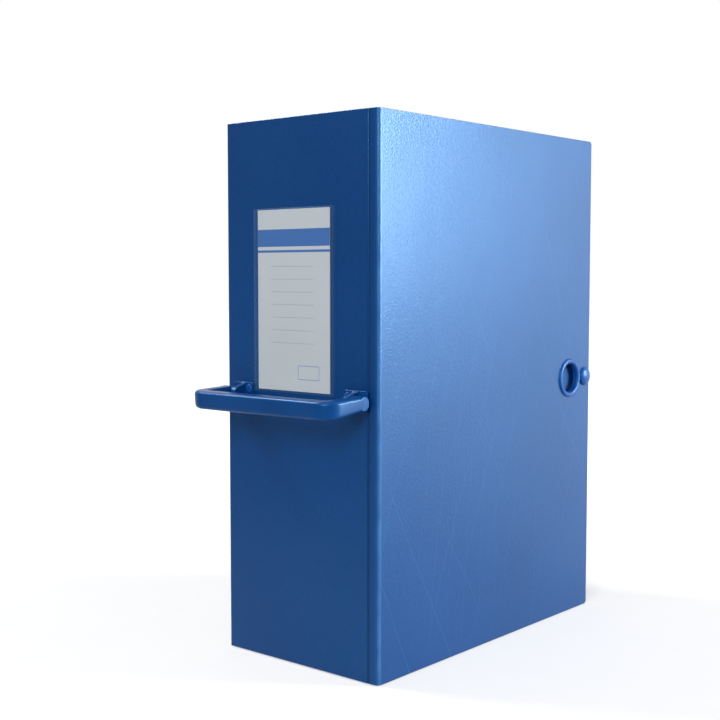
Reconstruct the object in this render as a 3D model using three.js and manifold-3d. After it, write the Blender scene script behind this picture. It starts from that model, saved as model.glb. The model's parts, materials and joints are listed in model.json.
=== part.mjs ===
// Archive storage box of folded board: a riveted tray, a spine and a cover that wrap round it,
// a press stud and a finger ring at the cover's free edge, and a carrying handle on the spine.
// Millimetres, +Z up. The box stands on its tail end, closed: the spine faces -Y and the cover +X.
// The origin is the middle of the tail end, on the plane that the box stands on.

import * as THREE from "three";
import { mergeVertices } from "three/addons/utils/BufferGeometryUtils.js";
import Module from "manifold-3d";

const wasm = await Module();
wasm.setup();

// Overall size and board
const HEIGHT = 350; // tail to head, along Z
const DEPTH = 250; // spine to fore edge, along Y
const WIDTH = 130; // back to cover, along X
const BOARD = 1.6; // thickness of the board

// Folds
const FOLD_BEND = 2.4; // outer radius of a plain fold
const FOLD_GAP = 0.4; // slit where the sheet is creased so that a panel can turn
const CREASE_BAND = 7.6; // second crease of the cover fold, from the box's corner
const BAND_DROP = 0.5; // how far the band between the creases falls back at the corner
const CREASE_WIDTH = 1.6;
const CREASE_DEPTH = 0.5;

// Tray
const FLANGE_WIDTH = 45; // inward flange along the head and tail walls
const FLANGE_BEND = 9; // outer radius of the rounded fold between wall and flange
const LAYER_GAP = 0.4; // between the rim strip and the flanges below it
const STRIP_DEPTH = 95; // rim strip, from the fore edge towards the spine
const STRIP_INSET = 1.5; // how much shorter than the box the fore edge is at each end
const LIP_DEPTH = 5; // tabs at the strip's ends, folded over the rounded wall
const LIP_START = 40; // the tabs' near end, from the fore edge
const WALL_GAP = 0.4; // between the end walls and the fore edge wall
const SPINE_GAP = 0.6; // between the end walls and the spine

// Spine and cover
const PANEL_INSET = 0.5; // how much shorter than the box each panel is at each end
const COVER_GAP = 3; // between the cover and the rim strip
const CORNER_RADIUS = 2.5; // free corners of the cover

// Finger ring
const RING_FROM_EDGE = 28.8;
const RING_BORE = 10.5; // radius of the finger hole
const RING_WALL = 0.8;
const RING_FLANGE = 14.3;
const RING_CROWN = 1.6;
const RING_WASHER = 13;
const RING_WASHER_THICKNESS = 0.6;
const RING_ROLL = 0.8;

// Press stud
const SNAP_FROM_EDGE = 7.1;
const SNAP_CAP_RADIUS = 6.9;
const SNAP_CAP_CROWN = 3.2;
const SNAP_POST_RADIUS = 1.7;
const SNAP_POST_SHORT = 0.1; // the cap's post ends this far above the socket's floor
const SOCKET_RADIUS = 6.2;
const SOCKET_THICKNESS = 2.2;
const SOCKET_FLOOR = 0.5;
const SOCKET_MOUTH = 3.4;
const SOCKET_CHAMFER = 0.5;
const STUD_FLANGE = 4.7;
const STUD_FLANGE_THICKNESS = 0.4;
const STUD_NECK = 2.3;
const STUD_BALL = 2.9;
const STUD_HEIGHT = 2.2;
const STUD_TOP_WALL = 0.6;
const STUD_RIVET_RADIUS = 1.3;
const STUD_RIVET_RIM = 0.2;

// Rim rivets
const RIVET_FROM_EDGE = 75;
const RIVET_FROM_END = 13.5;
const RIVET_CAP_RADIUS = 7;
const RIVET_CAP_CROWN = 2.3;
const CAP_RIM = 0.4; // straight edge under each dome
const RIVET_POST_RADIUS = 2;
const RIVET_BACK_RADIUS = 4.2;
const RIVET_BACK_THICKNESS = 1.5;
const RIVET_BACK_FLOOR = 0.4;
const RIVET_BACK_CHAMFER = 0.3;

// Handle and its brackets
const PIVOT_BELOW_MIDDLE = 1.5;
const PIVOT_FROM_SPINE = 7.5;
const HANDLE_MARGIN = 4.2; // between the handle's sides and the spine's
const HANDLE_REACH = 40; // from the spine to the front of the grip, when level
const HANDLE_DROOP = 4.5; // degrees below level
const GRIP_HEIGHT = 11.5;
const GRIP_THICKNESS = 10;
const GRIP_BEND = 12; // outer radius of the handle's corners
const GRIP_ROUNDING = 2.6;
const EYE_HEIGHT = 9;
const PIN_RADIUS = 2.2;
const PIN_LENGTH = 6;
const CHEEK_THICKNESS = 4;
const CHEEK_REACH = 12;
const CHEEK_GAP = 0.5; // between the handle's arm and the bracket's cheek
const BRACKET_RISE = 7; // top of the bracket above the pivot
const BRACKET_DROP = 6.6; // bottom of the bracket below the pivot
const FOOT_INBOARD = 7.2; // the foot's part for the rivets, past the cheek
const FOOT_SHORT = 3; // how far the foot stops before the arm's outer side
const FOOT_THICKNESS = 1.9;
const FOOT_ROUNDING = 1.6;

// Bracket rivets
const BRACKET_RIVET_SPREAD = 3.3; // each rivet above or below the middle of the foot
const BRACKET_RIVET_HEAD = 2.7;
const BRACKET_RIVET_CROWN = 1.2;
const BRACKET_RIVET_RIM = 0.3;
const BRACKET_RIVET_SHANK = 1.3;
const BRACKET_WASHER = 3;
const BRACKET_WASHER_THICKNESS = 0.6;
const CLINCH_RADIUS = 2.2;
const CLINCH_THICKNESS = 0.7;
const CLINCH_CHAMFER = 0.3;

// Label
const CARD_HEIGHT = 115;
const CARD_THICKNESS = 0.4;
const CARD_RISE = 3.5; // foot of the card above the handle's pivot
const POCKET_FILM = 0.4;
const POCKET_SLOT = 0.8;
const POCKET_MARGIN = 3.5;
const POCKET_SEAM = 1;
const POCKET_TOP = 1; // the pocket's mouth above the card
const POCKET_PLAY = 0.4; // beside and below the card
const POCKET_LEFT_GAP = 0.8; // to the bracket beside it
const POCKET_RIGHT_GAP = 8.4;

// Clearances
const HOLE_CLEARANCE = 0.3; // round a post in its hole
const BORE_CLEARANCE = 0.4; // round the handle's pins

// Fineness of the round shapes
const BEND_STEPS = 6;
const ROUND_STEPS = 24;
const SMALL_STEPS = 14;
const RING_STEPS = 40;
const CORNER_STEPS = 8;
const DOME_STEPS = 6;

// Faces that several pieces share
const BACK_X = -WIDTH / 2;
const COVER_X = WIDTH / 2;
const COVER_INNER_X = COVER_X - BOARD;
const STRIP_X = COVER_INNER_X - COVER_GAP;
const STRIP_INNER_X = STRIP_X - BOARD;
const FLANGE_X = STRIP_INNER_X - LAYER_GAP;
const FLANGE_INNER_X = FLANGE_X - BOARD;
const SPINE_Y = -DEPTH / 2;
const SPINE_INNER_Y = SPINE_Y + BOARD;
const FORE_Y = DEPTH / 2;
const FOLD_Y = SPINE_Y + BAND_DROP;
const MIDDLE_Z = HEIGHT / 2;
const PIVOT_HEIGHT = MIDDLE_Z - PIVOT_BELOW_MIDDLE;
const HANDLE_WIDTH = WIDTH - 2 * HANDLE_MARGIN;
const ARM_MIDDLE = HANDLE_WIDTH / 2 - GRIP_THICKNESS / 2;
const ARM_INNER = HANDLE_WIDTH / 2 - GRIP_THICKNESS;
const CHEEK_OUTER = ARM_INNER - CHEEK_GAP;
const CHEEK_INNER = CHEEK_OUTER - CHEEK_THICKNESS;
const FOOT_INNER = CHEEK_INNER - FOOT_INBOARD;
const BRACKET_RIVET_X = CHEEK_INNER - FOOT_INBOARD / 2;
const BRACKET_RIVET_ROWS = [-BRACKET_RIVET_SPREAD, BRACKET_RIVET_SPREAD];
const POCKET_LEFT = POCKET_LEFT_GAP - FOOT_INNER;
const POCKET_RIGHT = FOOT_INNER - POCKET_RIGHT_GAP;
const POCKET_THICKNESS = 2 * POCKET_FILM + POCKET_SLOT;
const CARD_LEFT = POCKET_LEFT + POCKET_MARGIN;
const CARD_RIGHT = POCKET_RIGHT - POCKET_MARGIN;

const blueBoard = new THREE.MeshStandardMaterial({ color: 0x0b4c8e, roughness: 0.45, metalness: 0 });
const bluePlastic = new THREE.MeshStandardMaterial({ color: 0x11498c, roughness: 0.35, metalness: 0 });
const blueEnamel = new THREE.MeshStandardMaterial({ color: 0x1c63b4, roughness: 0.25, metalness: 0.1 });
const nickel = new THREE.MeshStandardMaterial({ color: 0xb4b3b0, roughness: 0.3, metalness: 1 });
const labelPaper = new THREE.MeshStandardMaterial({ color: 0xb9bec2, roughness: 0.8, metalness: 0 });
const clearFilm = new THREE.MeshStandardMaterial({
  color: 0xdfe8f2,
  roughness: 0.15,
  metalness: 0,
  transparent: true,
  opacity: 0.3,
});

// Solids and meshes

function toSolid(geometry) {
  geometry.deleteAttribute("normal");
  geometry.deleteAttribute("uv");
  const merged = mergeVertices(geometry, 1e-4);
  const triangles = [];
  for (let i = 0; i < merged.index.count; i += 3) {
    const [a, b, c] = [0, 1, 2].map((k) => merged.index.getX(i + k));
    if (a !== b && b !== c && c !== a) triangles.push(a, b, c);
  }
  return new wasm.Manifold(
    new wasm.Mesh({
      numProp: 3,
      vertProperties: merged.attributes.position.array,
      triVerts: new Uint32Array(triangles),
    }),
  );
}

function toMesh(name, solid, material) {
  const { vertProperties, triVerts } = solid.getMesh();
  const geometry = new THREE.BufferGeometry();
  geometry.setAttribute("position", new THREE.BufferAttribute(vertProperties, 3));
  geometry.setIndex(new THREE.BufferAttribute(triVerts, 1));
  const faceted = geometry.toNonIndexed();
  faceted.computeVertexNormals();
  const mesh = new THREE.Mesh(faceted, material);
  mesh.name = name;
  return mesh;
}

function join(...solids) {
  return solids.reduce((whole, piece) => whole.add(piece));
}

function cut(solid, ...tools) {
  return tools.reduce((rest, tool) => rest.subtract(tool), solid);
}

// A flat outline pushed along one axis. For x the outline is drawn in Y and Z, for y in X and Z.
function prism(outline, axis, from, to, arcSteps = CORNER_STEPS) {
  const depth = to - from;
  const geometry = new THREE.ExtrudeGeometry(outline, {
    depth,
    bevelEnabled: false,
    curveSegments: arcSteps / 2,
  });
  const x = new THREE.Vector3(1, 0, 0);
  const y = new THREE.Vector3(0, 1, 0);
  const z = new THREE.Vector3(0, 0, 1);
  const placing = new THREE.Matrix4();
  if (axis === "x") placing.makeBasis(y, z, x).setPosition(from, 0, 0);
  if (axis === "y") placing.makeBasis(x, z, y.clone().negate()).setPosition(0, to, 0);
  if (axis === "z") placing.setPosition(0, 0, from);
  return toSolid(geometry.applyMatrix4(placing));
}

// A round piece turned about the Y axis: its profile runs upwards on the outside.
function turned(profile, steps = ROUND_STEPS) {
  return toSolid(new THREE.LatheGeometry(profile, steps));
}

function cylinder(axis, radius, from, to, center) {
  const circle = new THREE.Shape();
  circle.absarc(center.x, center.y, radius, 0, 2 * Math.PI);
  return prism(circle, axis, from, to, ROUND_STEPS);
}

function rectangle(left, bottom, right, top) {
  return new THREE.Shape([
    new THREE.Vector2(left, bottom),
    new THREE.Vector2(right, bottom),
    new THREE.Vector2(right, top),
    new THREE.Vector2(left, top),
  ]);
}

function roundedRectangle(left, bottom, right, top, radius) {
  const outline = new THREE.Shape();
  outline.absarc(right - radius, bottom + radius, radius, -Math.PI / 2, 0);
  outline.absarc(right - radius, top - radius, radius, 0, Math.PI / 2);
  outline.absarc(left + radius, top - radius, radius, Math.PI / 2, Math.PI);
  outline.absarc(left + radius, bottom + radius, radius, Math.PI, 1.5 * Math.PI);
  return outline;
}

// Outline of a board folded along a path of its outer face. Every fold turns left, and the
// board's thickness lies on the left. Each bend is the outer radius of the fold at its corner.
function foldedOutline(corners, bends) {
  const outer = [];
  const inner = [];
  const last = corners.length - 1;
  const leftOf = (along) => new THREE.Vector2(-along.y, along.x);
  const direction = (i) => corners[i + 1].clone().sub(corners[i]).normalize();
  const addEnd = (corner, along) => {
    outer.push(corner.clone());
    inner.push(corner.clone().addScaledVector(leftOf(along), BOARD));
  };
  addEnd(corners[0], direction(0));
  for (let i = 1; i < last; i++) {
    const before = direction(i - 1);
    const turn = before.cross(direction(i));
    const angle = Math.asin(Math.min(1, turn));
    const radius = bends[i - 1];
    const start = corners[i].clone().addScaledVector(before, -radius * Math.tan(angle / 2));
    const center = start.clone().addScaledVector(leftOf(before), radius);
    const steps = Math.max(1, Math.round((BEND_STEPS * angle) / (Math.PI / 2)));
    for (let k = 0; k <= steps; k++) {
      const spoke = start.clone().sub(center).normalize();
      spoke.rotateAround(new THREE.Vector2(), (angle * k) / steps);
      outer.push(center.clone().addScaledVector(spoke, radius));
      inner.push(center.clone().addScaledVector(spoke, radius - BOARD));
    }
  }
  addEnd(corners[last], direction(last - 1));
  return new THREE.Shape([...outer, ...inner.reverse()]);
}

function point(x, y) {
  return new THREE.Vector2(x, y);
}

// Everything past a fold's diagonal, on the side that the panel gives up. The slit's half lies on
// each side of the diagonal, which runs from the corner into the box.
function beyondFold(corner, inward, side) {
  const reach = 3 * FOLD_STUB;
  const along = inward.clone().normalize();
  const across = point(-along.y * side, along.x * side);
  const at = (a, b) => corner.clone().addScaledVector(along, a).addScaledVector(across, b);
  const outline = new THREE.Shape([
    at(-reach, -FOLD_GAP / 2),
    at(reach, -FOLD_GAP / 2),
    at(reach, reach),
    at(-reach, reach),
  ]);
  return prism(outline, "z", -1, HEIGHT + 1);
}

const BACK_FOLD = point(BACK_X, SPINE_Y);
const COVER_FOLD = point(COVER_X, FOLD_Y);
const INTO_BACK_FOLD = point(1, 1);
const INTO_COVER_FOLD = point(-1, 1);
const FOLD_STUB = 4; // length of board drawn past a fold before the panel is cut at its diagonal
const OVERLAP = 0.4; // by which joined stretches of one sheet run into each other

// Tray: one sheet folded into a back, two end walls with flanges, a fore edge wall and a rim strip

function endWallsAndBack() {
  const path = [
    point(FLANGE_X, HEIGHT - FLANGE_WIDTH),
    point(FLANGE_X, HEIGHT),
    point(BACK_X, HEIGHT),
    point(BACK_X, 0),
    point(FLANGE_X, 0),
    point(FLANGE_X, FLANGE_WIDTH),
  ];
  const outline = foldedOutline(path, [FLANGE_BEND, FOLD_BEND, FOLD_BEND, FLANGE_BEND]);
  return prism(outline, "y", SPINE_INNER_Y + SPINE_GAP, FORE_Y - BOARD - WALL_GAP);
}

function foreEdgeAndStrip() {
  const path = [
    point(STRIP_X, FORE_Y - LIP_START - OVERLAP),
    point(STRIP_X, FORE_Y),
    point(BACK_X, FORE_Y),
    point(BACK_X, FORE_Y - FOLD_BEND - WALL_GAP),
  ];
  const outline = foldedOutline(path, [FOLD_BEND, FOLD_BEND]);
  return prism(outline, "z", STRIP_INSET, HEIGHT - STRIP_INSET);
}

function stripWithLips() {
  const path = [
    point(STRIP_X - LIP_DEPTH, 0),
    point(STRIP_X, 0),
    point(STRIP_X, HEIGHT),
    point(STRIP_X - LIP_DEPTH, HEIGHT),
  ];
  const outline = foldedOutline(path, [FOLD_BEND, FOLD_BEND]);
  return prism(outline, "y", FORE_Y - STRIP_DEPTH, FORE_Y - LIP_START);
}

function backAtSpineFold() {
  const path = [
    point(BACK_X, SPINE_INNER_Y + SPINE_GAP + OVERLAP),
    BACK_FOLD,
    point(BACK_X + FOLD_STUB, SPINE_Y),
  ];
  const sheet = prism(foldedOutline(path, [FOLD_BEND]), "z", STRIP_INSET, HEIGHT - STRIP_INSET);
  return cut(sheet, beyondFold(BACK_FOLD, INTO_BACK_FOLD, -1));
}

function trayBoard() {
  const rivetHole = (z) =>
    cylinder(
      "x",
      RIVET_POST_RADIUS + HOLE_CLEARANCE,
      FLANGE_INNER_X - 1,
      STRIP_X + 1,
      point(FORE_Y - RIVET_FROM_EDGE, z),
    );
  const studHole = cylinder(
    "x",
    STUD_RIVET_RADIUS + HOLE_CLEARANCE,
    STRIP_INNER_X - 1,
    STRIP_X + 1,
    point(FORE_Y - SNAP_FROM_EDGE, MIDDLE_Z),
  );
  return cut(
    join(endWallsAndBack(), foreEdgeAndStrip(), stripWithLips(), backAtSpineFold()),
    rivetHole(RIVET_FROM_END),
    rivetHole(HEIGHT - RIVET_FROM_END),
    studHole,
  );
}

// Spine: one panel between the two folds, with the second crease beside the cover

function spinePanel() {
  const creaseX = COVER_X - CREASE_BAND;
  const path = [
    point(BACK_X, SPINE_Y + FOLD_STUB),
    BACK_FOLD,
    point(creaseX, SPINE_Y),
    COVER_FOLD,
    point(COVER_X, FOLD_Y + FOLD_STUB),
  ];
  const outline = foldedOutline(path, [FOLD_BEND, FOLD_BEND, FOLD_BEND]);
  const sheet = prism(outline, "z", PANEL_INSET, HEIGHT - PANEL_INSET);
  const groove = new THREE.Shape([
    point(creaseX - CREASE_WIDTH, SPINE_Y - CREASE_DEPTH),
    point(creaseX + CREASE_WIDTH, SPINE_Y - CREASE_DEPTH),
    point(creaseX, SPINE_Y + CREASE_DEPTH),
  ]);
  const rivetHole = (side, z) =>
    cylinder(
      "y",
      BRACKET_RIVET_SHANK + HOLE_CLEARANCE,
      SPINE_Y - 1,
      SPINE_INNER_Y + 1,
      point(side * BRACKET_RIVET_X, PIVOT_HEIGHT + z),
    );
  return cut(
    sheet,
    beyondFold(BACK_FOLD, INTO_BACK_FOLD, 1),
    beyondFold(COVER_FOLD, INTO_COVER_FOLD, -1),
    prism(groove, "z", 0, HEIGHT),
    ...BRACKET_RIVET_ROWS.flatMap((z) => [rivetHole(-1, z), rivetHole(1, z)]),
  );
}

// Cover: one flat panel with rounded free corners

function coverOutline() {
  const bottom = PANEL_INSET;
  const top = HEIGHT - PANEL_INSET;
  const cornerY = FORE_Y - CORNER_RADIUS;
  const start = FOLD_Y + FOLD_BEND;
  const outline = new THREE.Shape();
  outline.moveTo(start, top);
  outline.lineTo(start, bottom);
  outline.absarc(cornerY, bottom + CORNER_RADIUS, CORNER_RADIUS, -Math.PI / 2, 0);
  outline.absarc(cornerY, top - CORNER_RADIUS, CORNER_RADIUS, 0, Math.PI / 2);
  return outline;
}

function coverPanel() {
  const foldPath = [
    point(COVER_X - FOLD_STUB, FOLD_Y),
    COVER_FOLD,
    point(COVER_X, FOLD_Y + FOLD_BEND + OVERLAP),
  ];
  const fold = prism(foldedOutline(foldPath, [FOLD_BEND]), "z", PANEL_INSET, HEIGHT - PANEL_INSET);
  const through = (radius, fromEdge) =>
    cylinder("x", radius, COVER_INNER_X - 1, COVER_X + 1, point(FORE_Y - fromEdge, MIDDLE_Z));
  return cut(
    join(prism(coverOutline(), "x", COVER_INNER_X, COVER_X), fold),
    beyondFold(COVER_FOLD, INTO_COVER_FOLD, 1),
    through(RING_BORE + RING_WALL + HOLE_CLEARANCE, RING_FROM_EDGE),
    through(SNAP_POST_RADIUS + HOLE_CLEARANCE, SNAP_FROM_EDGE),
  );
}

// Small turned parts. Height 0 of each is the face that its head or flange sits on.

// A low dome, from its rim at the given height up to the axis.
function domeProfile(radius, base, crown) {
  const dome = new THREE.Path();
  dome.absellipse(0, base, radius, crown, 0, Math.PI / 2, false, 0);
  return dome.getPoints(DOME_STEPS / 2);
}

function headedPost(headRadius, crown, rim, postRadius, postLength, clinch = [], steps = ROUND_STEPS) {
  const profile = [
    point(0, -postLength),
    ...clinch,
    point(postRadius, clinch.length ? -postLength + CLINCH_THICKNESS : -postLength),
    point(postRadius, 0),
    point(headRadius, 0),
    ...domeProfile(headRadius, rim, crown - rim),
  ];
  return turned(profile, steps);
}

// A flat cup with a bore from its seat towards its closed floor.
function backCap(radius, thickness, boreRadius, floor) {
  return turned([
    point(0, -thickness),
    point(radius - RIVET_BACK_CHAMFER, -thickness),
    point(radius, -thickness + RIVET_BACK_CHAMFER),
    point(radius, 0),
    point(boreRadius, 0),
    point(boreRadius, -thickness + floor),
    point(0, -thickness + floor),
  ]);
}

function washer(outerRadius, innerRadius, thickness, steps) {
  return turned(
    [
      point(innerRadius, -thickness),
      point(outerRadius, -thickness),
      point(outerRadius, 0),
      point(innerRadius, 0),
      point(innerRadius, -thickness),
    ],
    steps,
  );
}

function fingerRing() {
  const barrel = RING_BORE + RING_WALL;
  const grip = BOARD + RING_WASHER_THICKNESS;
  const flange = new THREE.Path();
  flange.absellipse(
    (RING_FLANGE + RING_BORE) / 2,
    0,
    (RING_FLANGE - RING_BORE) / 2,
    RING_CROWN,
    0,
    Math.PI,
    false,
    0,
  );
  const rollRadius = RING_WASHER - RING_WALL;
  return turned(
    [
      point(RING_BORE, -grip - RING_ROLL / 2),
      point(RING_BORE + RING_WALL / 2, -grip - RING_ROLL),
      point(rollRadius - RING_ROLL / 4, -grip - RING_ROLL),
      point(rollRadius, -grip - RING_ROLL / 2),
      point(rollRadius, -grip),
      point(barrel, -grip),
      point(barrel, 0),
      ...flange.getPoints(DOME_STEPS - 2),
      point(RING_BORE, -grip - RING_ROLL / 2),
    ],
    RING_STEPS,
  );
}

function snapSocket() {
  const bore = SNAP_POST_RADIUS + HOLE_CLEARANCE;
  return turned([
    point(bore, -SOCKET_FLOOR),
    point(SOCKET_MOUTH, -SOCKET_FLOOR),
    point(SOCKET_MOUTH, -SOCKET_THICKNESS),
    point(SOCKET_RADIUS - SOCKET_CHAMFER, -SOCKET_THICKNESS),
    point(SOCKET_RADIUS, -SOCKET_THICKNESS + SOCKET_CHAMFER),
    point(SOCKET_RADIUS, 0),
    point(bore, 0),
    point(bore, -SOCKET_FLOOR),
  ]);
}

function snapStud() {
  const bore = STUD_RIVET_RADIUS + HOLE_CLEARANCE;
  const ball = new THREE.Path();
  const ballBase = STUD_FLANGE_THICKNESS + (STUD_HEIGHT - STUD_FLANGE_THICKNESS) / 2;
  ball.absellipse(0, ballBase, STUD_BALL, STUD_HEIGHT - ballBase, 0, Math.PI / 2, false, 0);
  return turned([
    point(0, STUD_HEIGHT - STUD_TOP_WALL),
    point(bore, STUD_HEIGHT - STUD_TOP_WALL),
    point(bore, 0),
    point(STUD_FLANGE, 0),
    point(STUD_FLANGE, STUD_FLANGE_THICKNESS),
    point(STUD_NECK, STUD_FLANGE_THICKNESS),
    ...ball.getPoints(DOME_STEPS / 2),
  ]);
}

// Handle: a moulded bow with a rounded section, drawn level, with its pivot axis at the origin

class BowPath extends THREE.Curve {
  constructor(halfWidth, reach, bend) {
    super();
    const corner = point(halfWidth - bend, bend - reach);
    this.stretches = [
      [1, (share) => point(-halfWidth, share * corner.y)],
      [CORNER_STEPS, (share) => this.round(corner, -1, bend, share)],
      [1, (share) => point((2 * share - 1) * corner.x, -reach)],
      [CORNER_STEPS, (share) => this.round(corner, 1, bend, 1 - share)],
      [1, (share) => point(halfWidth, (1 - share) * corner.y)],
    ];
    this.steps = this.stretches.reduce((sum, [steps]) => sum + steps, 0);
  }

  round(corner, side, bend, share) {
    const angle = (share * Math.PI) / 2;
    return point(side * (corner.x + bend * Math.cos(angle)), corner.y - bend * Math.sin(angle));
  }

  // The corners get more steps than their share of the length.
  getUtoTmapping(u) {
    return u;
  }

  getPoint(t, target = new THREE.Vector3()) {
    let step = t * this.steps;
    for (const [steps, place] of this.stretches) {
      if (step <= steps + 1e-9) {
        const { x, y } = place(step / steps);
        return target.set(x, y, 0);
      }
      step -= steps;
    }
    return target;
  }
}

function handle() {
  const section = roundedRectangle(
    -GRIP_HEIGHT / 2,
    -GRIP_THICKNESS / 2,
    GRIP_HEIGHT / 2,
    GRIP_THICKNESS / 2,
    GRIP_ROUNDING,
  );
  const reach = HANDLE_REACH - PIVOT_FROM_SPINE - GRIP_THICKNESS / 2;
  const path = new BowPath(ARM_MIDDLE, reach, GRIP_BEND - GRIP_THICKNESS / 2);
  const bow = new THREE.ExtrudeGeometry(section, {
    steps: path.steps,
    extrudePath: path,
    curveSegments: 2,
  });
  // The arms grow slimmer from the grip to their eyes.
  const position = bow.attributes.position;
  for (let i = 0; i < position.count; i++) {
    const share = THREE.MathUtils.clamp(-position.getY(i) / reach, 0, 1);
    const height = THREE.MathUtils.lerp(EYE_HEIGHT, GRIP_HEIGHT, share);
    position.setZ(i, (position.getZ(i) * height) / GRIP_HEIGHT);
  }
  const eye = (side) => {
    const from = side > 0 ? ARM_INNER : -ARM_INNER - GRIP_THICKNESS;
    return cylinder("x", EYE_HEIGHT / 2, from, from + GRIP_THICKNESS, point(0, 0));
  };
  const bore = (side) => {
    const depth = PIN_LENGTH - CHEEK_GAP + BORE_CLEARANCE;
    const from = side > 0 ? ARM_INNER - 1 : -ARM_INNER - depth;
    return cylinder("x", PIN_RADIUS + BORE_CLEARANCE, from, from + depth + 1, point(0, 0));
  };
  return cut(join(toSolid(bow), eye(-1), eye(1)), bore(-1), bore(1));
}

// Bracket at +X: a foot on the spine, behind the arm, and a cheek with a pin beside the arm.
// Its origin is on the spine's face at the pivot's height.

function handleBracket() {
  const nose = EYE_HEIGHT / 2;
  const cheek = new THREE.Shape();
  cheek.moveTo(0, -BRACKET_DROP);
  cheek.lineTo(0, BRACKET_RISE);
  cheek.lineTo(nose - CHEEK_REACH, nose);
  cheek.absarc(nose - CHEEK_REACH, 0, nose, Math.PI / 2, 1.5 * Math.PI);
  const foot = roundedRectangle(
    FOOT_INNER,
    -BRACKET_DROP,
    HANDLE_WIDTH / 2 - FOOT_SHORT,
    BRACKET_RISE,
    FOOT_ROUNDING,
  );
  const pin = cylinder(
    "x",
    PIN_RADIUS,
    CHEEK_INNER,
    CHEEK_OUTER + PIN_LENGTH,
    point(-PIVOT_FROM_SPINE, 0),
  );
  const rivetHole = (z) =>
    cylinder(
      "y",
      BRACKET_RIVET_SHANK + HOLE_CLEARANCE,
      -FOOT_THICKNESS - 1,
      1,
      point(BRACKET_RIVET_X, z),
    );
  const body = join(
    prism(cheek, "x", CHEEK_INNER, CHEEK_OUTER),
    prism(foot, "y", -FOOT_THICKNESS, 0),
    pin,
  );
  return cut(body, ...BRACKET_RIVET_ROWS.map(rivetHole));
}

function bracketRivet() {
  const grip = FOOT_THICKNESS + BOARD + BRACKET_WASHER_THICKNESS;
  const end = -grip - CLINCH_THICKNESS;
  return headedPost(
    BRACKET_RIVET_HEAD,
    BRACKET_RIVET_CROWN,
    BRACKET_RIVET_RIM,
    BRACKET_RIVET_SHANK,
    grip + CLINCH_THICKNESS,
    [
      point(CLINCH_RADIUS - CLINCH_CHAMFER, end),
      point(CLINCH_RADIUS, end + CLINCH_CHAMFER),
      point(CLINCH_RADIUS, -grip),
    ],
    SMALL_STEPS,
  );
}

// Label: a card in a clear pocket that is open at the top, welded at its sides and foot

function labelHolder() {
  const top = CARD_HEIGHT + POCKET_TOP;
  const outline = rectangle(POCKET_LEFT, -POCKET_PLAY - POCKET_SEAM, POCKET_RIGHT, top);
  const slot = rectangle(CARD_LEFT - POCKET_PLAY, -POCKET_PLAY, CARD_RIGHT + POCKET_PLAY, top + 1);
  return cut(
    prism(outline, "y", -POCKET_THICKNESS, 0),
    prism(slot, "y", -POCKET_FILM - POCKET_SLOT, -POCKET_FILM),
  );
}

function labelCard() {
  const middle = -POCKET_THICKNESS / 2;
  const face = rectangle(CARD_LEFT, 0, CARD_RIGHT, CARD_HEIGHT);
  return prism(face, "y", middle - CARD_THICKNESS / 2, middle + CARD_THICKNESS / 2);
}

// Assembly

const box = new THREE.Group();

// A group whose pieces are turned about an axis that points out of the cover or out of the spine.
function outOfCover(x, y, z) {
  const group = new THREE.Group();
  group.position.set(x, y, z);
  group.rotation.z = -Math.PI / 2;
  box.add(group);
  return group;
}

function outOfSpine(x, y, z) {
  const group = new THREE.Group();
  group.position.set(x, y, z);
  group.rotation.x = Math.PI;
  box.add(group);
  return group;
}

box.add(toMesh("tray_board", trayBoard(), blueBoard));
box.add(toMesh("spine_panel", spinePanel(), blueBoard));
box.add(toMesh("cover_panel", coverPanel(), blueBoard));

const rimGrip = STRIP_X - FLANGE_INNER_X;
for (const [place, z] of [
  ["upper", HEIGHT - RIVET_FROM_END],
  ["lower", RIVET_FROM_END],
]) {
  const postLength = rimGrip + RIVET_BACK_THICKNESS - RIVET_BACK_FLOOR - HOLE_CLEARANCE;
  const outside = outOfCover(STRIP_X, FORE_Y - RIVET_FROM_EDGE, z);
  const cap = headedPost(RIVET_CAP_RADIUS, RIVET_CAP_CROWN, CAP_RIM, RIVET_POST_RADIUS, postLength);
  outside.add(toMesh(`${place}_rim_rivet`, cap, blueEnamel));
  const inside = outOfCover(FLANGE_INNER_X, FORE_Y - RIVET_FROM_EDGE, z);
  const back = backCap(
    RIVET_BACK_RADIUS,
    RIVET_BACK_THICKNESS,
    RIVET_POST_RADIUS + HOLE_CLEARANCE,
    RIVET_BACK_FLOOR,
  );
  inside.add(toMesh(`${place}_rim_rivet_back`, back, nickel));
}

const studPlace = outOfCover(STRIP_X, FORE_Y - SNAP_FROM_EDGE, MIDDLE_Z);
studPlace.add(toMesh("snap_stud", snapStud(), nickel));
const studRivetPlace = outOfCover(STRIP_INNER_X, FORE_Y - SNAP_FROM_EDGE, MIDDLE_Z);
studRivetPlace.rotation.z = Math.PI / 2;
const studRivet = headedPost(
  STUD_FLANGE,
  STUD_FLANGE_THICKNESS,
  STUD_RIVET_RIM,
  STUD_RIVET_RADIUS,
  BOARD + STUD_HEIGHT - STUD_TOP_WALL - HOLE_CLEARANCE,
);
studRivetPlace.add(toMesh("snap_stud_rivet", studRivet, nickel));

const capPlace = outOfCover(COVER_X, FORE_Y - SNAP_FROM_EDGE, MIDDLE_Z);
const cap = headedPost(
  SNAP_CAP_RADIUS,
  SNAP_CAP_CROWN,
  CAP_RIM,
  SNAP_POST_RADIUS,
  BOARD + SOCKET_FLOOR - SNAP_POST_SHORT,
);
capPlace.add(toMesh("snap_cap", cap, blueEnamel));
const socketPlace = outOfCover(COVER_INNER_X, FORE_Y - SNAP_FROM_EDGE, MIDDLE_Z);
socketPlace.add(toMesh("snap_socket", snapSocket(), nickel));

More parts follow.
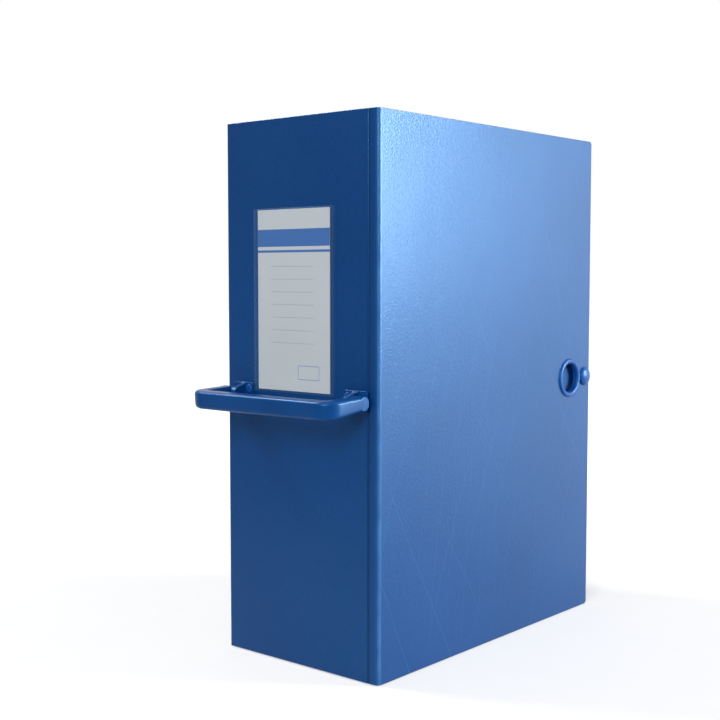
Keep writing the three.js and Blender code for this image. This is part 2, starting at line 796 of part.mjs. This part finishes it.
const ringPlace = outOfCover(COVER_X, FORE_Y - RING_FROM_EDGE, MIDDLE_Z);
ringPlace.add(toMesh("finger_ring", fingerRing(), blueEnamel));
const ringWasherPlace = outOfCover(COVER_INNER_X, FORE_Y - RING_FROM_EDGE, MIDDLE_Z);
const ringWasher = washer(
  RING_WASHER,
  RING_BORE + RING_WALL + HOLE_CLEARANCE,
  RING_WASHER_THICKNESS,
  RING_STEPS,
);
ringWasherPlace.add(toMesh("finger_ring_washer", ringWasher, nickel));

const handlePlace = new THREE.Group();
handlePlace.position.set(0, SPINE_Y - PIVOT_FROM_SPINE, PIVOT_HEIGHT);
handlePlace.rotation.x = THREE.MathUtils.degToRad(HANDLE_DROOP);
handlePlace.add(toMesh("handle", handle(), bluePlastic));
box.add(handlePlace);

for (const [place, side] of [
  ["left", -1],
  ["right", 1],
]) {
  const bracket = toMesh(`${place}_handle_bracket`, handleBracket(), bluePlastic);
  bracket.position.set(0, SPINE_Y, PIVOT_HEIGHT);
  bracket.scale.x = side;
  box.add(bracket);
  const x = side * BRACKET_RIVET_X;
  for (const [row, rise] of [
    ["lower", BRACKET_RIVET_ROWS[0]],
    ["upper", BRACKET_RIVET_ROWS[1]],
  ]) {
    const outside = outOfSpine(x, SPINE_Y - FOOT_THICKNESS, PIVOT_HEIGHT + rise);
    outside.add(toMesh(`${place}_bracket_${row}_rivet`, bracketRivet(), blueEnamel));
    const inside = outOfSpine(x, SPINE_INNER_Y, PIVOT_HEIGHT + rise);
    const ring = washer(
      BRACKET_WASHER,
      BRACKET_RIVET_SHANK + HOLE_CLEARANCE,
      BRACKET_WASHER_THICKNESS,
      SMALL_STEPS,
    );
    inside.add(toMesh(`${place}_bracket_${row}_washer`, ring, nickel));
  }
}

const labelPlace = new THREE.Group();
labelPlace.position.set(0, SPINE_Y, PIVOT_HEIGHT + CARD_RISE);
labelPlace.add(toMesh("label_holder", labelHolder(), clearFilm));
labelPlace.add(toMesh("label_card", labelCard(), labelPaper));
box.add(labelPlace);

export default box;
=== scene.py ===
# The looks of an archive storage box of blue coated board, standing closed.
# Metres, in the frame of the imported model: +Z up, spine towards -Y, cover towards +X.

import json
import math

import bmesh
import bpy
from mathutils import Matrix, Vector

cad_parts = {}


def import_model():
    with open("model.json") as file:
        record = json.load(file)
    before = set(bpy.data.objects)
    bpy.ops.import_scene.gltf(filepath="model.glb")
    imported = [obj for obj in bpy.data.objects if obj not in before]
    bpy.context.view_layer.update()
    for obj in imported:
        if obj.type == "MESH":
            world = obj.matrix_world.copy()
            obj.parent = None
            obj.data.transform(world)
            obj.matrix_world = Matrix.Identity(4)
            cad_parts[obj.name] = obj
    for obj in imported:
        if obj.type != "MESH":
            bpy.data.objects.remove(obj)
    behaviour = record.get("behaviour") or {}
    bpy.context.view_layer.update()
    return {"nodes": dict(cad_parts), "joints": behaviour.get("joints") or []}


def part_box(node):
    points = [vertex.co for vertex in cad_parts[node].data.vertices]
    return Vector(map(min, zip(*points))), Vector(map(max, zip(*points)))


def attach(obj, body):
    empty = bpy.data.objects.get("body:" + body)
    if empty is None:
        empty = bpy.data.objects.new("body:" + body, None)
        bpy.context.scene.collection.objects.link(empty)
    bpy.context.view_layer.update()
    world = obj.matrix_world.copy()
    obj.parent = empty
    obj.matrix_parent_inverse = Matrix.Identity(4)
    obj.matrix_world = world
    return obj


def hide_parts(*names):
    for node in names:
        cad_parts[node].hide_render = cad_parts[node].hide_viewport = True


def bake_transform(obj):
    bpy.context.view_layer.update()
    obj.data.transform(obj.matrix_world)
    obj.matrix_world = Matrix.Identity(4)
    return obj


MM = 0.001

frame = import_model()

SPINE_LOW, SPINE_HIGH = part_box("spine_panel")
TRAY_LOW, TRAY_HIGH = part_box("tray_board")
CARD_LOW, CARD_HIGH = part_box("label_card")
COVER_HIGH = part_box("cover_panel")[1]
HINGES = {joint["name"]: joint["pos_m"] for joint in frame["joints"]}
SPINE_Y = SPINE_LOW[1]
COVER_X = COVER_HIGH[0]
BACK_X = TRAY_LOW[0]
STRIP_X = TRAY_HIGH[0]
CREASE_X = COVER_X - 7.6 * MM  # the second crease of the cover's fold
BOARD_THICKNESS = 1.6 * MM
FOLD_BEND = 2.4 * MM  # outer radius of the board's folds
SHARP_ANGLE = math.radians(38)  # faces that meet more steeply keep a sharp edge
FLOOR_GLOW = 0.38  # how much the floor near the box is lifted towards white where it is seen


# Shader nodes


class Shader:
    """A material being built: its nodes are added by kind and joined by their sockets."""

    def __init__(self, name):
        self.material = bpy.data.materials.new(name)
        self.material.use_nodes = True
        self.tree = self.material.node_tree
        self.surface = self.tree.nodes["Principled BSDF"]
        self.output = self.tree.nodes["Material Output"]

    def node(self, kind, links=None, **settings):
        made = self.tree.nodes.new(kind)
        for key, value in settings.items():
            setattr(made, key, value)
        for key, value in (links or {}).items():
            self.feed(made.inputs[key], value)
        return made

    def feed(self, socket, value):
        if isinstance(value, bpy.types.NodeSocket):
            self.tree.links.new(value, socket)
        elif isinstance(value, tuple) and len(value) == 3 and socket.type == "RGBA":
            socket.default_value = (*value, 1)
        else:
            socket.default_value = value

    def set(self, **values):
        for key, value in values.items():
            self.feed(self.surface.inputs[key.replace("_", " ")], value)

    def math(self, operation, a, b=0.0):
        return self.node("ShaderNodeMath", {0: a, 1: b}, operation=operation).outputs[0]

    def place(self):
        return self.node("ShaderNodeTexCoord").outputs["Object"]

    def parts(self, vector):
        return self.node("ShaderNodeSeparateXYZ", {"Vector": vector}).outputs

    def stretch(self, vector, scale=(1, 1, 1), turn=(0, 0, 0)):
        links = {"Vector": vector, "Scale": scale, "Rotation": turn}
        return self.node("ShaderNodeMapping", links).outputs[0]

    def noise(self, vector, scale, detail=2.0):
        links = {"Vector": vector, "Scale": scale, "Detail": detail}
        return self.node("ShaderNodeTexNoise", links).outputs["Fac"]

    def ramp(self, value, low, high, to_low=0.0, to_high=1.0):
        links = {"Value": value, "From Min": low, "From Max": high, "To Min": to_low, "To Max": to_high}
        return self.node("ShaderNodeMapRange", links, clamp=True).outputs["Result"]

    def mix(self, share, a, b):
        mixer = self.node("ShaderNodeMix", data_type="RGBA")
        self.feed(mixer.inputs["Factor"], share)
        self.feed(mixer.inputs["A"], a)
        self.feed(mixer.inputs["B"], b)
        return mixer.outputs["Result"]

    def bump(self, height, distance, strength, normal=None):
        links = {"Height": height, "Distance": distance, "Strength": strength}
        if normal is not None:
            links["Normal"] = normal
        return self.node("ShaderNodeBump", links).outputs["Normal"]


def srgb(red, green, blue):
    """A display colour from 0 to 255 as a linear one."""

    def linear(value):
        value /= 255
        return value / 12.92 if value <= 0.04045 else ((value + 0.055) / 1.055) ** 2.4

    return (linear(red), linear(green), linear(blue))


# Materials


def hairlines(s, place):
    """Thin slices of a slowly waving field, so that each line is long and bends a little."""
    half_width, wave_height = 0.012, 1.6  # as shares of the space between two lines
    lines = None
    for turn, per_metre, wave_scale in ((0.35, 46.0, 5.0), (-0.5, 30.0, 4.0), (0.08, 61.0, 7.0)):
        turned = s.stretch(place, turn=(turn, 0, 0))
        across = s.parts(turned)
        wave = s.math("MULTIPLY", s.noise(turned, wave_scale, detail=1.0), wave_height)
        straight = s.math("MULTIPLY", s.math("ADD", across["X"], across["Y"]), per_metre)
        phase = s.math("FRACT", s.math("ADD", straight, wave))
        from_line = s.math("ABSOLUTE", s.math("SUBTRACT", phase, 0.5))
        thin = s.ramp(from_line, 0.0, half_width, 1.0, 0.0)
        broken = s.ramp(s.noise(s.stretch(turned, scale=(1, 1, 0.25)), 16.0, detail=1.0), 0.52, 0.62)
        line = s.math("MULTIPLY", thin, broken)
        lines = line if lines is None else s.math("MAXIMUM", lines, line)
    return lines


def fold_wear_highlight_crease_shade(s, place, color):
    """The coat along the cover's fold made pale, partly as wear and partly as a painted highlight of the
    rounded fold, and painted shade darkening the crease beside it.
    """
    parts = s.parts(place)
    begins = s.ramp(parts["Y"], SPINE_Y + 0.2 * MM, SPINE_Y + 1.2 * MM)
    ends = s.ramp(parts["Y"], SPINE_Y + 2.2 * MM, SPINE_Y + 3.4 * MM, 1.0, 0.0)
    at_fold = s.math("MULTIPLY", begins, ends)
    at_fold = s.math("MULTIPLY", at_fold, s.ramp(parts["X"], COVER_X - 4 * MM, COVER_X - 3 * MM))
    # A pale strip on the cover beside the fold: partly wear, partly a painted highlight that stands in for
    # the fold's reflection.
    wear_and_painted_highlight = s.ramp(s.noise(place, 60.0, detail=3.0), 0.25, 0.6, 0.3, 0.6)
    color = s.mix(s.math("MULTIPLY", at_fold, wear_and_painted_highlight), color, srgb(70, 116, 170))
    from_crease = s.math("ABSOLUTE", s.math("SUBTRACT", parts["X"], CREASE_X))
    # Painted shade: the crease is darkened towards deep blue, standing in for the shade that falls in it.
    painted_crease_shade = s.ramp(from_crease, 0.6 * MM, 1.6 * MM, 0.7, 0.0)
    return s.mix(painted_crease_shade, color, srgb(1, 26, 62))


def coated_board():
    """Blue board under a satin plastic coat: fine pebble grain, long hairlines and broad clouds."""
    s = Shader("coated_board")
    place = s.place()
    clouds = s.noise(place, 9.0, detail=3.0)
    speckle = s.noise(place, 900.0)
    color = s.mix(s.ramp(clouds, 0.3, 0.7), srgb(4, 51, 105), srgb(6, 56, 112))
    color = s.mix(s.ramp(speckle, 0.35, 0.7, 0.0, 0.35), color, srgb(2, 38, 86))
    behind_spine_face = s.ramp(s.parts(place)["Y"], SPINE_Y + 0.5 * MM, SPINE_Y + 4 * MM)
    lines = s.math("MULTIPLY", hairlines(s, place), behind_spine_face)
    color = s.mix(s.math("MULTIPLY", lines, 0.24), color, srgb(60, 116, 180))
    # Pale fold strip (wear and painted highlight) and dark crease (painted shade).
    color = fold_wear_highlight_crease_shade(s, place, color)

    grain = s.noise(place, 1050.0, detail=1.0)
    pebble = s.node("ShaderNodeTexVoronoi", {"Vector": place, "Scale": 1000.0}, feature="SMOOTH_F1")
    height = s.math("ADD", s.math("MULTIPLY", grain, 0.5), pebble.outputs["Distance"])
    normal = s.bump(height, 0.12 * MM, 0.5)
    normal = s.bump(lines, 0.04 * MM, 0.3, normal)
    normal = s.bump(s.noise(place, 14.0, detail=1.0), 1.2 * MM, 0.18, normal)
    s.set(Base_Color=color, Roughness=s.ramp(clouds, 0.3, 0.7, 0.32, 0.37), Normal=normal)
    s.set(IOR=1.6, Specular_Tint=(0.05, 0.46, 1.0))
    s.set(Coat_Weight=0.2, Coat_Roughness=0.25, Coat_Normal=normal)
    return s.material


def moulded_plastic():
    """Satin blue plastic with a faint spark-eroded texture."""
    s = Shader("moulded_plastic")
    place = s.place()
    clouds = s.noise(place, 40.0)
    color = s.mix(s.ramp(clouds, 0.35, 0.65), srgb(2, 52, 108), srgb(4, 58, 116))
    normal = s.bump(s.noise(place, 1400.0, detail=1.0), 0.02 * MM, 0.3)
    rough = s.ramp(s.noise(place, 300.0), 0.3, 0.7, 0.3, 0.36)
    s.set(Base_Color=color, Roughness=rough, Normal=normal, Specular_Tint=(0.2, 0.55, 1.0))
    return s.material


def enamel():
    """Blue lacquer on the eyelet, the rivets and the stud's cap."""
    s = Shader("blue_enamel")
    place = s.place()
    color = s.mix(s.noise(place, 200.0), srgb(10, 60, 126), srgb(15, 68, 136))
    normal = s.bump(s.noise(place, 700.0, detail=1.0), 0.04 * MM, 0.25)
    rough = s.ramp(s.noise(place, 500.0), 0.3, 0.7, 0.34, 0.42)
    s.set(Base_Color=color, Roughness=rough, Normal=normal, Specular_Tint=(0.25, 0.6, 1.0))
    return s.material


def nickel():
    """Bright metal, a little dulled by handling."""
    s = Shader("nickel")
    place = s.place()
    worn = s.noise(place, 260.0, detail=3.0)
    color = s.mix(worn, srgb(176, 174, 170), srgb(204, 203, 200))
    normal = s.bump(s.noise(place, 900.0), 0.02 * MM, 0.3)
    s.set(Base_Color=color, Metallic=1.0, Roughness=s.ramp(worn, 0.3, 0.7, 0.22, 0.34), Normal=normal)
    return s.material


def label_card():
    """Pale card with a generic printed form: a header band, ruled lines and an empty frame."""
    s = Shader("label_card")
    place = s.place()
    parts = s.parts(place)
    left, right = CARD_LOW[0], CARD_HIGH[0]
    bottom, top = CARD_LOW[2], CARD_HIGH[2]
    soft = 0.06 * MM

    def within(value, low, high):
        above = s.ramp(value, low - soft, low + soft)
        below = s.ramp(value, high - soft, high + soft, 1.0, 0.0)
        return s.math("MULTIPLY", above, below)

    def field(x_low, x_high, z_low, z_high):
        return s.math("MULTIPLY", within(parts["X"], x_low, x_high), within(parts["Z"], z_low, z_high))

    paper = s.mix(s.noise(place, 1200.0, detail=3.0), srgb(180, 183, 181), srgb(187, 190, 187))
    band_ink, rule_ink, frame_ink = srgb(18, 80, 150), srgb(120, 126, 134), srgb(60, 112, 170)
    header = field(left, right, top - 23.5 * MM, top - 12.5 * MM)
    color = s.mix(header, paper, band_ink)
    thin_band = field(left, right, top - 27.2 * MM, top - 25.7 * MM)
    color = s.mix(thin_band, color, band_ink)

    rules, first_rule, rule_gap, half_rule = 7, top - 36 * MM, 8.1 * MM, 0.14 * MM
    for row in range(rules):
        z = first_rule - row * rule_gap
        rule = field(left + 11.5 * MM, right - 13.5 * MM, z - half_rule, z + half_rule)
        color = s.mix(s.math("MULTIPLY", rule, 0.75), color, rule_ink)

    frame_left, frame_right = right - 27 * MM, right - 9 * MM
    frame_bottom, frame_top = bottom + 7.5 * MM, bottom + 16.5 * MM
    line = 0.35 * MM
    outer = field(frame_left, frame_right, frame_bottom, frame_top)
    inner = field(frame_left + line, frame_right - line, frame_bottom + line, frame_top - line)
    color = s.mix(s.math("SUBTRACT", outer, inner), color, frame_ink)
    normal = s.bump(s.noise(place, 1500.0, detail=3.0), 0.03 * MM, 0.4)
    s.set(Base_Color=color, Roughness=0.75, Normal=normal)
    return s.material


def clear_film():
    """Clear plastic film: mostly see-through, with a soft gloss that ripples a little."""
    s = Shader("clear_film")
    place = s.place()
    ripple = s.noise(place, 60.0)
    color = s.mix(s.noise(place, 500.0), srgb(120, 160, 205), srgb(140, 176, 216))
    rough = s.ramp(ripple, 0.3, 0.7, 0.08, 0.18)
    s.set(Base_Color=color, Roughness=rough, Normal=s.bump(ripple, 0.4 * MM, 0.2), Alpha=0.07)
    return s.material


BOARD = coated_board()
PLASTIC = moulded_plastic()
ENAMEL = enamel()
NICKEL = nickel()
LABEL = label_card()
FILM = clear_film()


# Pieces made from the CAD nodes


def placed(name, mesh, material):
    """An object that shows a mesh in one material."""
    mesh.materials.append(material)
    made = bpy.data.objects.new(name, mesh)
    bpy.context.scene.collection.objects.link(made)
    return made


def apply_modifiers(piece):
    graph = bpy.context.evaluated_depsgraph_get()
    graph.update()
    final = bpy.data.meshes.new_from_object(piece.evaluated_get(graph))
    piece.modifiers.clear()
    piece.data = final


def finished(name, source, body, material, bevel=0.2 * MM, angle=28):
    """A CAD node's form as a piece of its own, with smooth round faces.

    Edges that turn by more than the angle, in degrees, are eased by the bevel's width."""
    mesh = frame["nodes"][source].data.copy()
    work = bmesh.new()
    work.from_mesh(mesh)
    bmesh.ops.remove_doubles(work, verts=work.verts, dist=0.002 * MM)
    bmesh.ops.recalc_face_normals(work, faces=work.faces)
    work.to_mesh(mesh)
    work.free()
    mesh.materials.clear()
    piece = placed(name, mesh, material)
    eased = piece.modifiers.new("eased_edges", "BEVEL")
    eased.width = bevel
    eased.segments = 2
    eased.limit_method = "ANGLE"
    eased.angle_limit = math.radians(angle)
    eased.use_clamp_overlap = False
    for polygon in mesh.polygons:
        polygon.use_smooth = True
    apply_modifiers(piece)
    piece.data.set_sharp_from_angle(angle=SHARP_ANGLE)
    even = piece.modifiers.new("even_normals", "WEIGHTED_NORMAL")
    even.mode = "FACE_AREA"
    even.keep_sharp = True
    apply_modifiers(piece)
    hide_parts(source)
    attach(piece, body)


finished("tray_sheet", "tray_board", "tray", BOARD)
finished("spine_sheet", "spine_panel", "spine", BOARD)
finished("cover_sheet", "cover_panel", "cover", BOARD)
finished("carrying_handle", "handle", "handle", PLASTIC, bevel=0.4 * MM, angle=40)
for side in ("left", "right"):
    finished(f"{side}_bracket", f"{side}_handle_bracket", "spine", PLASTIC, bevel=0.3 * MM)
    for row in ("lower", "upper"):
        node = f"{side}_bracket_{row}_rivet"
        finished(f"{node}_finished", node, "spine", ENAMEL, bevel=0.06 * MM)
        node = f"{side}_bracket_{row}_washer"
        finished(f"{node}_finished", node, "spine", NICKEL, bevel=0.06 * MM)
for row in ("upper", "lower"):
    finished(f"{row}_rim_cap", f"{row}_rim_rivet", "tray", ENAMEL, bevel=0.1 * MM)
    finished(f"{row}_rim_back", f"{row}_rim_rivet_back", "tray", NICKEL, bevel=0.1 * MM)
finished("stud_ball", "snap_stud", "tray", NICKEL, bevel=0.06 * MM)
finished("stud_rivet", "snap_stud_rivet", "tray", NICKEL, bevel=0.06 * MM)
finished("stud_cap", "snap_cap", "cover", ENAMEL, bevel=0.1 * MM)
finished("stud_socket", "snap_socket", "cover", NICKEL, bevel=0.1 * MM)
finished("finger_eyelet", "finger_ring", "cover", ENAMEL, bevel=0.08 * MM)
finished("finger_eyelet_washer", "finger_ring_washer", "cover", NICKEL, bevel=0.08 * MM)
finished("label_pocket", "label_holder", "spine", FILM, bevel=0.1 * MM)
finished("label_form", "label_card", "spine", LABEL, bevel=0.03 * MM)


# The coat over the creases, and the tape inside the tray


def fold_profile():
    """The closed section of a fold's coat, for a fold at the origin with its panels towards -X and +Y."""
    steps = 12
    overrun = math.radians(14)
    proud, sunk, thickness = 0.02 * MM, -0.06 * MM, 0.35 * MM
    center = Vector((-FOLD_BEND, FOLD_BEND))
    outer, inner = [], []
    for i in range(steps + 1):
        share = i / steps
        angle = -math.pi / 2 - overrun + share * (math.pi / 2 + 2 * overrun)
        lift = sunk + (proud - sunk) * math.sin(math.pi * share) ** 0.5
        spoke = Vector((math.cos(angle), math.sin(angle)))
        outer.append(center + spoke * (FOLD_BEND + lift))
        inner.append(center + spoke * (FOLD_BEND + lift - thickness))
    return outer + inner[::-1]


def fold_skin(name, corner, turn):
    """The coat that bridges a crease: a thin arc over the slit between two panels, from foot to head."""
    turned = Matrix.Rotation(turn, 2)
    corner = Vector(corner)
    ring = [turned @ p + corner for p in fold_profile()]
    rows = 40
    low, high = SPINE_LOW[2] + 0.1 * MM, SPINE_HIGH[2] - 0.1 * MM
    vertices, faces = [], []
    for row in range(rows + 1):
        z = low + (high - low) * row / rows
        vertices += [(p.x, p.y, z) for p in ring]
    count = len(ring)
    for row in range(rows):
        for i in range(count):
            a, b = row * count + i, row * count + (i + 1) % count
            faces.append((a, b, b + count, a + count))
    faces.append(tuple(range(count))[::-1])
    faces.append(tuple(rows * count + i for i in range(count)))
    mesh = bpy.data.meshes.new(name)
    mesh.from_pydata(vertices, [], faces)
    for polygon in mesh.polygons:
        polygon.use_smooth = True
    mesh.set_sharp_from_angle(angle=SHARP_ANGLE)
    skin = placed(name, mesh, BOARD)
    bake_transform(skin)


def seam_tape(name, height, inward):
    """Tape over the seam inside the tray where an end wall meets the fore edge."""
    leg, thickness, chamfer = 7 * MM, 0.15 * MM, 1 * MM
    clearance, end_gap = 0.02 * MM, 0.8 * MM
    left, right = BACK_X + BOARD_THICKNESS + end_gap, STRIP_X - BOARD_THICKNESS - end_gap
    corner_y = TRAY_HIGH[1] - BOARD_THICKNESS - clearance
    corner_z = height + inward * (BOARD_THICKNESS + clearance)
    profile = [(0, 0), (-leg, 0), (-leg, thickness), (-chamfer, thickness)]
    profile += [(-thickness, chamfer), (-thickness, leg), (0, leg)]
    profile = [(corner_y + y, corner_z + inward * z) for y, z in profile]
    count = len(profile)
    vertices = [(x, y, z) for x in (left, right) for y, z in profile]
    faces = [(i, (i + 1) % count, (i + 1) % count + count, i + count) for i in range(count)]
    faces += [tuple(range(count))[::-1], tuple(range(count, 2 * count))]
    mesh = bpy.data.meshes.new(name)
    mesh.from_pydata(vertices, [], faces)
    work = bmesh.new()
    work.from_mesh(mesh)
    bmesh.ops.recalc_face_normals(work, faces=work.faces)
    work.to_mesh(mesh)
    work.free()
    tape = placed(name, mesh, BOARD)
    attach(tape, "tray")


seam_tape("tail_seam_tape", TRAY_LOW[2], 1)
seam_tape("head_seam_tape", TRAY_HIGH[2], -1)
fold_skin("cover_fold_skin", HINGES["cover_hinge"][:2], 0)
fold_skin("back_fold_skin", HINGES["spine_hinge"][:2], -math.pi / 2)


# Floor, light and camera


def floor_plane():
    """A pale floor that keeps the box's shadow and is seen as white further out."""
    reach, drop = 6.0, 0.2 * MM
    near, dark_from, white_from = 0.3, 0.7, 0.8  # distances from the box's middle
    mesh = bpy.data.meshes.new("floor")
    corners = [(-reach, -reach), (reach, -reach), (reach, reach), (-reach, reach)]
    mesh.from_pydata([(x, y, -drop) for x, y in corners], [], [(0, 1, 2, 3)])
    s = Shader("pale_floor")
    place = s.place()
    away = s.node("ShaderNodeVectorMath", {"Vector": place}, operation="LENGTH").outputs["Value"]
    near_color = s.mix(s.noise(place, 30.0), (0.52, 0.52, 0.52), (0.54, 0.54, 0.54))
    far_color = (0.24, 0.24, 0.24)
    s.set(Base_Color=s.mix(s.ramp(away, near, dark_from), near_color, far_color), Roughness=0.9)
    rays = s.node("ShaderNodeLightPath").outputs
    behind = s.ramp(s.parts(place)["Y"], -0.5, 0.6, 0.1, 0.8)
    mirrored = s.math("MULTIPLY", rays["Is Glossy Ray"], behind)
    seen = s.math("MAXIMUM", rays["Is Camera Ray"], rays["Is Transmission Ray"])
    seen = s.math("MAXIMUM", seen, mirrored)
    lift = s.ramp(away, near, white_from, FLOOR_GLOW, 1.0)
    glow = s.node("ShaderNodeEmission", {"Color": (1.0, 1.0, 1.0)})
    s.feed(glow.inputs["Strength"], s.math("MULTIPLY", seen, lift))
    both = s.node("ShaderNodeAddShader", {0: s.surface.outputs[0], 1: glow.outputs[0]})
    s.feed(s.output.inputs["Surface"], both.outputs[0])
    floor = placed("floor", mesh, s.material)


def world():
    """An even studio light and a white backdrop.

    A gloss shows the backdrop full behind the box, and dimmer in front of it."""
    sky = bpy.data.worlds.new("studio")
    bpy.context.scene.world = sky
    sky.use_nodes = True
    tree = sky.node_tree
    tree.nodes.clear()

    def node(kind, *links, **settings):
        made = tree.nodes.new(kind)
        for key, value in settings.items():
            setattr(made, key, value)
        for number, output in enumerate(links):
            tree.links.new(output, made.inputs[number])
        return made

    def background(color, strength):
        made = node("ShaderNodeBackground")
        made.inputs["Color"].default_value = (*color, 1)
        made.inputs["Strength"].default_value = strength
        return made.outputs[0]

    rays = node("ShaderNodeLightPath").outputs
    direction = node("ShaderNodeTexCoord").outputs["Generated"]
    behind_box = Vector((0.35, 0.9, 0.25)).normalized()
    towards = node("ShaderNodeVectorMath", direction, operation="DOT_PRODUCT")
    towards.inputs[1].default_value = behind_box
    dimmed = node("ShaderNodeMapRange", towards.outputs["Value"], interpolation_type="SMOOTHSTEP")
    limits = {"From Min": -0.6, "From Max": 0.6, "To Min": 0.12, "To Max": 1.0}
    for key, value in limits.items():
        dimmed.inputs[key].default_value = value
    mirrored = node("ShaderNodeMath", rays["Is Glossy Ray"], dimmed.outputs[0], operation="MULTIPLY")
    seen = node("ShaderNodeMath", rays["Is Camera Ray"], rays["Is Transmission Ray"], operation="MAXIMUM")
    seen = node("ShaderNodeMath", seen.outputs[0], mirrored.outputs[0], operation="MAXIMUM")
    ambient = background((0.94, 0.97, 1.0), 0.25)
    white = background((1, 1, 1), 1)
    mix = node("ShaderNodeMixShader", seen.outputs[0], ambient, white)
    node("ShaderNodeOutputWorld", mix.outputs[0])


def softbox(name, place, target, width, height, watts):
    """A soft rectangular lamp that faces its target."""
    light = bpy.data.lights.new(name, "AREA")
    light.shape = "RECTANGLE"
    light.size = width
    light.size_y = height
    light.energy = watts
    lamp = bpy.data.objects.new(name, light)
    lamp.location = place
    lamp.rotation_euler = (Vector(target) - Vector(place)).to_track_quat("-Z", "Y").to_euler()
    bpy.context.scene.collection.objects.link(lamp)


def camera():
    """The photo's viewpoint, with the picture enlarged so that the box fills the frame."""
    place = (0.527, -0.686, 0.250)
    azimuth = math.radians(40.33)
    looks_down = math.radians(3.95)
    sensor_width = 36
    photo_width, focal_pixels = 720, 738.5
    enlarged = 1.65
    data = bpy.data.cameras.new("camera")
    data.sensor_width = sensor_width
    data.lens = focal_pixels / photo_width * sensor_width * enlarged
    shot = bpy.data.objects.new("camera", data)
    shot.location = place
    shot.rotation_euler = (math.pi / 2 - looks_down, 0, azimuth)
    bpy.context.scene.collection.objects.link(shot)
    bpy.context.scene.camera = shot


floor_plane()
world()
softbox("back_right", place=(2.0, 1.47, 0.66), target=(0.065, -0.05, 0.3), width=0.7, height=0.9, watts=98)
softbox("back", place=(1.1, 2.4, 0.36), target=(0.065, 0.05, 0.15), width=0.8, height=0.6, watts=1.2)
softbox("front_right", place=(1.2, -2.6, 1.4), target=(0.05, -0.05, 0.17), width=1.2, height=1.2, watts=72)
softbox("overhead", place=(0.1, -0.5, 2.2), target=(0, 0, 0.1), width=0.8, height=0.8, watts=4)
softbox("upper_left", place=(-1.5, -0.6, 2.0), target=(0, -0.15, 0.18), width=0.5, height=0.5, watts=36)
camera()

bpy.context.scene.view_settings.view_transform = "Standard"
